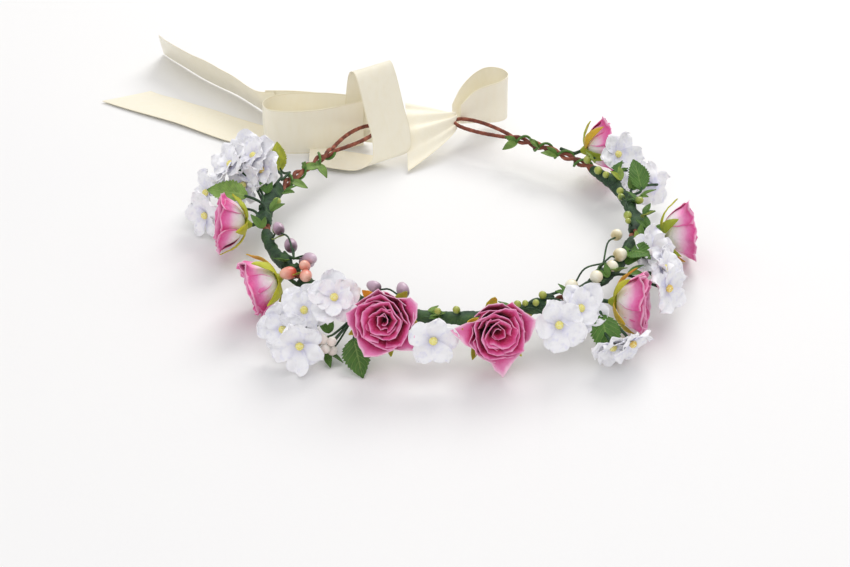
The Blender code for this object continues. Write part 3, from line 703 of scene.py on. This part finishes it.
def cloth_petal(form, place, way, turn, radius, rise, chance):
    """One cupped and creased petal round the floret's middle, its rise given in petal lengths."""
    side, up = square_to(way)
    out = math.cos(turn) * side + math.sin(turn) * up
    across = np.cross(way, out)
    s = (1 - (1 - np.linspace(0, 1, 13)) ** 1.5)[:, None]
    t = np.linspace(-1, 1, 13)[None, :]
    widest = chance.uniform(0.56, 0.68)
    broad = radius * chance.uniform(0.43, 0.51)
    narrow_end = 0.26 + 0.74 * np.sin(np.pi / 2 * s / widest)
    round_end = np.sqrt(np.clip(1 - ((s - widest) / (1.001 - widest)) ** 2, 0, 1))
    half = np.maximum(broad * np.where(s < widest, narrow_end, round_end), 0.05 * radius)
    phase, depth = chance.uniform(0, 6.3), chance.uniform(0.03, 0.08)
    z = rise * s - 0.55 * rise * s**2 * chance.uniform(0.7, 1.6) + 0.12 * t * s
    z = z + 0.15 * t**2 * s * (1 - 0.6 * s) - 0.1 * (1 - abs(t)) ** 2 * s * (1 - s) * 2
    z = z + depth * np.sin(3.1 * t + 2.5 * s + phase) * s**2
    r = 0.06 + s * (1 - 0.06 * t**2 * s)
    grid = place + (r * radius)[..., None] * out + (half * t)[..., None] * across
    grid = grid + (z * radius)[..., None] * way
    creased = 0.22 * abs(wobble(grid, 0.006, phase, 2)) + 0.06 * wobble(grid, 0.0035, phase + 1)
    grid = grid + (radius * creased * (0.3 + s))[..., None] * way
    form.sheet(grid, 0.22 * MM, along=s)


def floret(name, middle, way, layers, seed, stem, size=FLORET_RADIUS, replaced=()):
    """Five petals, five smaller ones over them if there are two layers, and the yellow bead."""
    form, chance = Form(), random.Random(seed)
    first = chance.uniform(0, 6.3)
    for petal in range(5):
        turn = first + 2 * math.pi * petal / 5 + chance.uniform(-0.1, 0.1)
        length = size * chance.uniform(0.92, 1.04)
        cloth_petal(form, middle, way, turn, length, chance.uniform(0.1, 0.62), chance)
    for petal in range(5 if layers == 2 else 0):
        turn = first + 2 * math.pi * (petal + 0.5) / 5 + chance.uniform(-0.12, 0.12)
        cloth_petal(form, middle + 0.7 * MM * way, way, turn, 0.7 * size, chance.uniform(0.55, 0.8), chance)
    eye = np.array(((0, 0), (1.2, 0.1), (1.75, 1.0), (1.45, 2.0), (0.7, 2.6), (0, 2.7))) * MM
    form.turned(eye, middle + 0.3 * MM * way, way, 12, 1, tone=chance.choice((0.0, 0.1, 0.8)))
    form.tube(stem, STEM_RADIUS, finish=2)
    form.piece(name, "crown", "floret_fabric", [floret_cloth, stamen, floral_tape], replaced)


DOUBLE_FLORETS = (1, 3, 6, 7, 8, 12, 13, 16)
# The wires bend easily, so some florets sit a little aside of where the solid model has them, in mm.
FLORET_SHIFTS = {
    3: (-5, -5, -5), 4: (0, 0, 1), 5: (0, 4, 1), 6: (-1.5, 0, 0), 8: (6, 0, -1), 9: (0, 0, 1),
    10: (-3.5, 0, 4.5), 11: (0, 1, 2.5), 12: (1.5, -4, -6.5), 13: (4, -2, -0.5), 14: (-1, 0, 3),
    15: (-4, 1, 2), 16: (-3, 3, -4),
}
FLORET_TURNS = {13: (-78, -22), 14: (-62, -28)}  # the way that a bent one faces, and its lift
FLORET_SIZES = {10: 0.93, 13: 0.85, 14: 0.85}  # the smaller ones' share of the radius
for number in range(1, 19):
    node = f"floret_{number:02d}"
    middle, way, _ = flat_of(node)
    if way @ (bindings[node] - middle) > 0:
        way = -way
    middle = middle + np.array(FLORET_SHIFTS.get(number, (0, 0, 0))) * MM
    way = facing(*FLORET_TURNS[number]) if number in FLORET_TURNS else way
    layers = 2 if number in DOUBLE_FLORETS else 1
    size = FLORET_RADIUS * FLORET_SIZES.get(number, 1)
    floret(f"white_{node}", middle, way, layers, number, stem_path(node, middle, way), size, [node])

# Small fillers, bound on between the big flowers: degrees round the ring, mm out, mm up, the way
# that each faces and its lift.
FILLER_FLORETS = (
    (152.5, 8, 9, 232, 45), (155.5, 15, 3, 215, 25), (150.5, 13, 14, 205, 50), (22, 12, 6, -62, 25),
    (-39.5, 20, 3, -35, 40),
)
for number, (degrees, out, height, turn, lift) in enumerate(FILLER_FLORETS, 1):
    middle, way = by_ring(degrees, out * MM, height * MM), facing(turn, lift)
    foot = by_ring(degrees + 7, 3 * MM, 1 * MM)
    stem = smooth_path([foot - 3 * MM * facing(degrees + 90), foot, middle - 6 * MM * way, middle], 14)
    floret(f"filler_floret_{number}", middle, way, 1 + number % 2, 70 + number, stem)

# Roses: strips of crumpled mulberry paper, dyed from white at the foot to magenta in the heart,
# rolled into a tight middle and glued round it in rings, the outer petals turned back at their
# points. Painted shade darkens the heart's petals toward their feet, deep in the hollow. A green
# paper calyx with five sepals holds each one to its taped wire.
ROSE_RADIUS = 11.9 * MM
rose_paper, shade = start_finish("rose_paper")
rim, inner, heart = shade.fact("rim"), shade.fact("inner"), shade.fact("heart")
cloud = shade.speckle(0.004, detail=4.0)
fibre = shade.speckle(0.0011, detail=4.0, roughness=0.65)
# The ramps end in a pale pink edge line: partly the paper's own pale rim, partly painted highlight.
level = rim + (cloud - 0.5) * 0.2
# Magenta dye of the heart with painted shade: near black-red toward each petal's foot, in the hollow.
heart_dye_and_shade = level.ramp((0.3, dye(104, 0, 30)), (0.7, dye(172, 8, 70)), (0.86, dye(208, 40, 112)),
                  (0.95, dye(236, 104, 170)), (1.0, dye(252, 172, 214)))
open_face = level.ramp((0.4, dye(196, 24, 96)), (0.75, dye(230, 84, 154)), (0.92, dye(242, 140, 194)),
                       (1.0, dye(255, 210, 232)))
pink_back = level.ramp((0.2, dye(168, 12, 74)), (0.6, dye(214, 52, 126)), (0.88, dye(238, 110, 178)),
                       (1.0, dye(252, 180, 216)))
pale_back = level.ramp((0.24, dye(252, 249, 246)), (0.46, dye(250, 220, 236)), (0.68, dye(241, 132, 192)),
                       (0.92, dye(226, 66, 146)), (1.0, dye(250, 180, 216)))
within_face = heart.between(0.0, 0.35).mix(open_face, heart_dye_and_shade)
back = heart.between(0.1, 0.4).mix(pale_back, pink_back)
rose_colour = (fibre.between(0.4, 0.85) * 0.12).mix(inner.mix(back, within_face), dye(255, 226, 240))
end_finish(rose_paper, rose_colour, 0.65, fibre * 0.6 + cloud, 0.0004, {"Sheen Weight": 0.1})

sepal_paper, shade = start_finish("sepal_paper")
along, tone = shade.fact("along"), shade.fact("tone")
mottle = shade.speckle(0.003, detail=4.0)
lime = tone.ramp((0.0, dye(140, 160, 40)), (0.55, dye(196, 200, 50)), (0.8, dye(206, 196, 44)),
                 (1.0, dye(222, 164, 36)))
end_finish(sepal_paper, (mottle.between(0.35, 0.8) * 0.4).mix(lime, dye(134, 136, 34)), 0.6,
           shade.speckle(0.0012, detail=3.0), 0.00025)


def paper_petal(form, place, middle, half, foot, rim, height, curl, corner, heart, chance):
    """One petal, creased into flat folds. place is the bloom's own frame; middle and half are
    angles round it; foot and rim are radii, height and curl are lengths, and corner is how far
    the rim's pointed corner stands out, all in bloom radii."""
    v = np.linspace(0, 1, 15)[:, None]
    inner_folds = np.linspace(-0.75, 0.75, 6) + [chance.uniform(-0.1, 0.1) for _ in range(6)]
    folds = np.array([-1, *inner_folds, 1])
    u = folds[None, :]
    at_peak = np.clip(1 - abs(u - folds[chance.choice((3, 4))]) / 0.6, 0, 1) ** 1.2
    shape = heart * v**0.85 + (1 - heart) * np.sin(np.pi / 2 * v**0.72)
    roll = np.clip((v - 0.62) / 0.38, 0, 1) ** 1.6
    tuck = chance.uniform(0.05, 0.09)
    r = foot + (rim - foot) * shape + roll * (curl * (0.4 + 0.6 * abs(u)) + corner * at_peak) + tuck * u * v
    z = height * v**1.1 * (1 - 0.14 * abs(u) ** 2.2) - roll * (0.4 * curl + 0.35 * corner * at_peak)
    theta = middle + half * u * (0.55 + 0.45 * np.sin(np.pi / 2 * np.minimum(1, v / 0.55))) + 0 * v
    kinks = np.array([chance.uniform(-1, 1) for _ in range(len(folds))])[None, :]
    r = r + 0.07 * kinks * v**1.5
    z = z + 0.08 * np.roll(kinks, 1) * v**2
    local = np.stack([r * np.cos(theta), r * np.sin(theta), z], axis=-1) * ROSE_RADIUS
    fine = np.linspace(0, len(folds) - 1, 3 * len(folds) - 2)
    low = np.minimum(fine.astype(int), len(folds) - 2)
    share = (fine - low)[None, :, None]
    local = (1 - share) * local[:, low] + share * local[:, low + 1]
    crumple = 0.035 * ROSE_RADIUS * wobble(local / ROSE_RADIUS, 0.35, chance.uniform(0, 9)) * v
    local = local + crumple[..., None]
    grid = local @ np.array(place.to_3x3()).T + np.array(place.translation)
    edge = abs(np.interp(fine, np.arange(len(folds)), folds))
    # Side edges are given a rim near 1, so they show the same pale line, partly painted highlight.
    form.sheet(grid, 0.24 * MM, rim=np.maximum(v, np.where(edge > 0.97, 0.95, 0) * v**0.2), heart=heart)


# Each ring of petals, from the heart out: how many, half their spread in degrees, foot and rim
# radii, height, curl, corner, and how much of the heart's colour they carry.
PETAL_RINGS = (
    (2, 130, 0.02, 0.19, 0.88, 0.05, 0.0, 1.0),
    (3, 84, 0.04, 0.40, 1.00, 0.10, 0.05, 1.0),
    (3, 82, 0.10, 0.60, 1.08, 0.10, 0.08, 0.9),
    (4, 64, 0.20, 0.79, 1.10, 0.10, 0.12, 0.5),
    (5, 52, 0.26, 0.93, 1.05, 0.08, 0.25, 0.0),
)
# The long corners of the two front blooms: degrees round the bloom and length in bloom radii.
LONG_CORNERS = {
    3: ((38, 0.42), (-28, 0.48), (-118, 0.3), (162, 0.25), (95, 0.1)),
    4: ((165, 0.75), (-88, 0.75), (10, 0.22), (85, 0.1), (-150, 0.12)),
}


def lie_of_bloom(node, calyx):
    """The foot of a turned bloom and the way that it faces."""
    points, faces, area, normal = triangles_of(node)
    spread, ways = np.linalg.eigh((normal * area[:, None]).T @ normal)
    odd = 0 if spread[1] - spread[0] > spread[2] - spread[1] else 2
    centre = (points[faces].mean(1) * area[:, None]).sum(0) / area.sum()
    way = ways[:, odd]
    if way @ (centre - corners_of(calyx).mean(0)) < 0:
        way = -way
    return centre + ((points - centre) @ way).min() * way, way


# Blooms whose wires are bent a little aside: the way that they face, and mm moved.
ROSE_TURNS = {2: (-171, -13), 5: (-22, 5), 6: (-8, 6), 7: (-8, 12)}
ROSE_SHIFTS = {2: (1, 0, 2), 3: (-2, 0, 0), 4: (0, 0, 1.8), 5: (0, 0, 0.6)}
# A sepal's middle line: mm from the bloom's axis and mm over its foot.
SEPAL_LINE = ((2.0, -1.3), (5.0, -1.2), (8.4, 0.4), (11.2, 3.2), (13.2, 6.2), (14.8, 9.0))
SEPAL_HALF_WIDTH = 3.3 * MM
ROSE_STEM_RADIUS = 0.9 * MM
for number in range(1, 8):
    base, way = lie_of_bloom(f"rose_{number}_bloom", f"rose_{number}_calyx")
    way = facing(*ROSE_TURNS[number]) if number in ROSE_TURNS else way
    base = base + np.array(ROSE_SHIFTS.get(number, (0, 0, 0))) * MM
    place = Matrix.Translation(base) @ Vector(way).to_track_quat("Z", "Y").to_matrix().to_4x4()
    bloom_form, chance = Form(), random.Random(40 + number)
    for ring, (count, half, foot, rim, height, curl, corner, heart) in enumerate(PETAL_RINGS):
        first = chance.uniform(0, 2 * math.pi)
        for petal in range(count):
            middle = first + 2 * math.pi * petal / count + chance.uniform(-0.12, 0.12)
            long = corner * chance.uniform(0.2, 1.6)
            if ring == len(PETAL_RINGS) - 1 and number in LONG_CORNERS:
                middle, long = LONG_CORNERS[number][petal]
                middle = math.radians(middle)
            paper_petal(bloom_form, place, middle, math.radians(half * chance.uniform(0.92, 1.1)), foot,
                        rim * chance.uniform(0.95, 1.04), height * chance.uniform(0.94, 1.04),
                        curl * chance.uniform(0.6, 1.4), long, heart, chance)
    rose = f"rose_{number}"
    bloom_form.piece(rose + "_petals", rose, "rose_paper", [rose_paper], [rose + "_bloom"])

    calyx_form = Form()
    seat = base - 0.3 * MM * way
    cup = np.array(((0, -3.6), (0.9, -3.5), (2.2, -1.6), (3.0, -0.2), (2.6, 0.5), (0, 0.6))) * MM
    calyx_form.turned(cup, seat, way, 14, along=0.6, tone=0.2)
    side = np.array(place.to_3x3()) @ np.array((1.0, 0, 0))
    up = np.cross(way, side)
    first = chance.uniform(0, 6.3)
    for sepal in range(5):
        turn = first + 2 * math.pi * sepal / 5 + chance.uniform(-0.15, 0.15)
        out = math.cos(turn) * side + math.sin(turn) * up
        across = np.cross(way, out)
        flare = chance.uniform(-0.5, 3.5)
        line = smooth_path([(r, z - flare * (r / 13) ** 3) for r, z in SEPAL_LINE], 16) * MM
        s = np.linspace(0, 1, 16)[:, None]
        t = np.linspace(-1, 1, 7)[None, :]
        width = np.maximum(SEPAL_HALF_WIDTH * (1 - 0.35 * (1 - s) ** 2) * (1 - s**2.2) ** 0.9, 0.1 * MM)
        grid = base + line[:, :1, None] * out + line[:, 1:, None] * way + (width * t)[..., None] * across
        grid = grid + 0.5 * MM * (abs(t) ** 1.5)[..., None] * way
        grid = grid + 0.5 * MM * wobble(grid, 0.004, number + sepal)[..., None] * out
        calyx_form.sheet(grid, 0.3 * MM, along=s, tone=chance.uniform(0.1, 1.0))
    stem = stem_path(rose + "_calyx", seat - 2.8 * MM * way, way)
    calyx_form.tube(stem, ROSE_STEM_RADIUS, finish=1)
    calyx_form.piece(rose + "_sepals", rose, "sepal_paper", [sepal_paper, floral_tape], [rose + "_calyx"])

# Bow: one length of 25 mm double-faced satin ribbon, ivory, threaded through both wire eyes,
# tied in a soft bow at the back and left with two long tails that are cut on the slant.
RIBBON_THICKNESS = 0.25 * MM
BOW_SETBACK = 1.3 * MM
left_tip = by_ring(LEFT_END) + EYE_LENGTH * facing(LEFT_END - 90 + EYE_TURN)
right_tip = by_ring(RIGHT_END) + EYE_LENGTH * facing(RIGHT_END + 90 - EYE_TURN)
wrap_middle = np.array((left_tip[0] + 8.5 * MM, left_tip[1] - BOW_SETBACK, RING_HEIGHT))

satin_ribbon, shade = start_finish("satin_ribbon")
across = shade.fact("across")
thread = (across * 120.0).maths("PINGPONG", 0.5)
slub = shade.speckle(0.0025, detail=3.0, stretch=(1, 1, 0.25))
edge = across.maths("ABSOLUTE").between(0.93, 0.98)
cream = (slub.between(0.35, 0.8) * 0.3).mix(dye(255, 249, 228), dye(250, 240, 210))
end_finish(satin_ribbon, (edge * 0.35).mix(cream, dye(232, 220, 182)), slub * 0.12 + 0.26,
           thread * 0.5 + slub * 0.6 + edge * 0.6, 0.00008, {"Sheen Weight": 0.25, "Coat Weight": 0.15})


def ribbon(knots, rows, waves=0.0, seed=0, columns=15):
    """A grid over a length of ribbon. Each knot, in mm, is a point on its middle line and the
    half of its width there."""
    line = smooth_path(np.array(knots, float) * MM, rows)
    t = np.linspace(-1, 1, columns)[None, :, None]
    grid = line[:, None, :3] + t * line[:, None, 3:]
    normal = unit(np.cross(np.gradient(grid, axis=0), np.gradient(grid, axis=1)))
    return grid + normal * (waves * MM * wobble(grid, 0.018, seed, 1))[..., None]


def ribbon_piece(name, grid, node, swung=None):
    """A length of the bow's ribbon, riding on the bow's body. For a tail, swung is given instead: the piece
    rides on no body and its place is baked into its points; the body and stretch in swung are not used."""
    form = Form()
    form.sheet(grid, RIBBON_THICKNESS, across=np.linspace(-1, 1, grid.shape[1])[None, :])
    made = form.piece(name, None if swung else "bow", "satin_ribbon", [satin_ribbon], [node])
    if swung:
        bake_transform(made)


WRAP = (
    (-42.5, -1, -12.0, 1.5, 10.5, 1.0), (-26.5, -10, -12.2, 6.5, 9.5, 0.6),
    (-12.5, -16.5, -12.0, 10.5, 6.0, 0.8), (-3.5, -17, -7.5, 12.4, 2.0, 1.6), (-2.5, -12.5, 2, 12.3, 0, 2.2),
    (-4.6, -8, 11.8, 12.3, 0, 2.2), (-6.5, -3, 22.7, 12.2, 0, 2.6), (-7.9, 0.5, 29.0, 12.0, -0.5, 3.0),
    (-9.1, 4.5, 31.2, 11.9, -1, 3.4), (-11, 8, 28.0, 11.9, -1, 3.0), (-12.5, 9.5, 15, 12.1, 0, 2.4),
    (-13.5, 8.5, 3, 12.2, 0, 2.2), (-14.5, 6.5, -5, 12.2, 0, 2),
)
# Its edges are folded in a little, so it shows less than the ribbon's width.
WRAP_FOLD = (1, 1, 1, 0.78, 0.78, 0.78)
wrap_grid = wrap_middle + ribbon(np.array(WRAP) * WRAP_FOLD, 90, 0.5, 1)
ribbon_piece("bow_wrap_ribbon", wrap_grid, "bow_wrap")

LEFT_LOOP = (
    (-8, 7, 0.5, 0, 0.5, 12.5), (-18, 11, 0.5, 0, 1, 12.4), (-32, 17.5, 0, 0, 1.2, 12.4),
    (-50, 23, -1.4, 0, 0.8, 12.4), (-60, 21.5, -1.9, 0, 0, 12.4), (-63.8, 15, -2, 0.5, 0, 12.4),
    (-60, 8, -2, 0, -0.8, 12.4), (-46, 3.5, -1.5, 0, -1.4, 12.4), (-30, 2.5, -0.5, 0, -1.2, 12.4),
    (-14, 5, 0.5, 0, 0, 12.5),
)
left_grid = wrap_middle + ribbon(LEFT_LOOP, 80, 0.8, 2)
ribbon_piece("bow_left_loop", left_grid, "bow_loop_left")

eye = np.array((right_tip[0], wrap_middle[1], RING_HEIGHT))
RIGHT_LOOP = (
    (-1, 3, 2.0, 0, 1.5, 5.0), (5, 10, 4.0, 0, 1, 9.5), (13, 18, 4.8, 0, 1, 12.0),
    (21, 23.5, 5.0, 0, 0.6, 12.4), (28, 21.5, 5.0, 0, 0, 12.4), (30, 14, 5.0, 0, -0.6, 12.3),
    (24, 8.5, 4.8, 0, -1.2, 11.8), (12, 6, 4.2, 0, -1, 9.5), (3, 2, 2.4, 0, -1, 5.5),
)
right_grid = eye + ribbon(RIGHT_LOOP, 64, 0.6, 3)
ribbon_piece("bow_right_loop", right_grid, "bow_loop_right")

# The gathered stretch between the eyes fans out of the right eye in pleats, over the ring's
# level behind and down to the table in front, where it goes in under the wrap.
BRIDGE_SECTION = ((6, 9), (4.5, 9.5), (1, 7), (-6, 3), (-13, -4), (-19, -11), (-25, -13.4))
fan = smooth_path(BRIDGE_SECTION, 49) * MM
gather = smooth_path([(3.4, 1.5), (1, 3.4), (-2.6, 1.2), (-4.5, -2.0)], 49) * MM
s = np.linspace(0, 1, 22)[:, None]
t = np.linspace(0, 1, 49)[None, :]
open_out = s**0.8
pleat = 1.3 * MM * np.cos(2 * np.pi * 3.5 * t**0.8) * (1 - 0.5 * s) * np.sin(np.pi * np.clip(t + 0.03, 0, 1))
fan_x = (wrap_middle[0] + 8 * MM - eye[0] - 4 * MM * t) * s
fan_grid = np.stack([
    eye[0] + fan_x + 0.5 * pleat,
    eye[1] + open_out * fan[:, 0] + (1 - open_out) * gather[:, 0],
    eye[2] + open_out * fan[:, 1] + (1 - open_out) * gather[:, 1] + pleat,
], axis=-1)
ribbon_piece("bow_bridge_pleats", fan_grid, "bow_bridge")

TAIL_RUN = (
    (-10, 11, -1.5, 0, 0.5, 11.5), (-28, 21, -1.5, 0, 0.5, 11.5), (-46, 31, -2.0, 0, -1.2, 11.4),
    (-58, 41, -3.2, -2.6, -3.4, 10.6),
)
root_grid = wrap_middle + ribbon(TAIL_RUN, 34, 0.4, 4)
ribbon_piece("bow_tail_root", root_grid, "bow_tail_run")


def tail(which, way, knots, rows, waves, cut_rows, cut, turn, before, after):
    """One tail: its last rows are cut on the slant. The point turn, in mm from wrap_middle, and the
    lengths before and after it are handed on to ribbon_piece, which does not use them."""
    grid = wrap_middle + ribbon(knots, rows, *waves)
    slant = np.clip((np.arange(rows) - (rows - 1 - cut_rows)) / cut_rows, 0, 1)[:, None]
    grid = grid + (cut * MM * slant * np.linspace(0, 1, grid.shape[1]))[..., None] * way
    grid[..., 2] = np.maximum(grid[..., 2], 0.3 * MM)
    turn = wrap_middle + np.array(turn) * MM
    swung = ("tail_" + which, turn - before * MM * way, turn + after * MM * way)
    ribbon_piece(f"tail_{which}_ribbon", grid, f"ribbon_tail_{which}", swung)


# The upper tail leans on its lower edge. Each bend: its share of the length, mm aside and mm up.
UPPER_DIRECTION, UPPER_LENGTH, UPPER_LEAN = 119.5, 116, math.radians(30)
UPPER_START = (-59.5, 42.5, 11.5 * math.cos(UPPER_LEAN) + 0.7 - RING_HEIGHT / MM)
UPPER_BENDS = ((0.02, 0, 0.2), (0.3, -1.6, 0), (0.62, 0.8, 0), (0.85, 0.4, 0), (1.0, -0.4, 0))
way, side = facing(UPPER_DIRECTION), facing(UPPER_DIRECTION + 90)
half = 11.5 * (math.sin(UPPER_LEAN) * side + np.array((0, 0, math.cos(UPPER_LEAN))))
knots = [(-54, 37, -3.0, -2.2, -2.8, 10.9)]
for share, aside, up in UPPER_BENDS:
    middle = np.array(UPPER_START) + (0, 0, up) + share * UPPER_LENGTH * way + aside * side
    knots.append((*middle, *half))
tail("upper", way, knots, 80, (0.5, 5), 21, -17, UPPER_START, 3, 5)

# The lower tail lies flat. Each bend: its share of the length, mm aside, mm up, and its edge's curl.
LOWER_DIRECTION, LOWER_LENGTH = 136.5, 101
LOWER_BENDS = ((0.03, 0, -13.6, 0.2), (0.25, 0.3, -13.9, 0.5), (0.5, -0.6, -13.7, 0.6),
               (0.75, 0.2, -14.0, 0.5), (0.88, 0.2, -14.1, 0.3))
way, side = facing(LOWER_DIRECTION), facing(LOWER_DIRECTION + 90)
knots = [(-56, 18, -12.5, *(11.5 * side))]
for share, aside, up, curl in LOWER_BENDS:
    middle = np.array((-64, 25, up)) + share * LOWER_LENGTH * way + aside * side
    knots.append((*middle, *(12.4 * side + (0, 0, curl))))
tail("lower", way, knots, 70, (0.35, 6), 19, 12.5, (-64, 25, -14.5), 4, 4)
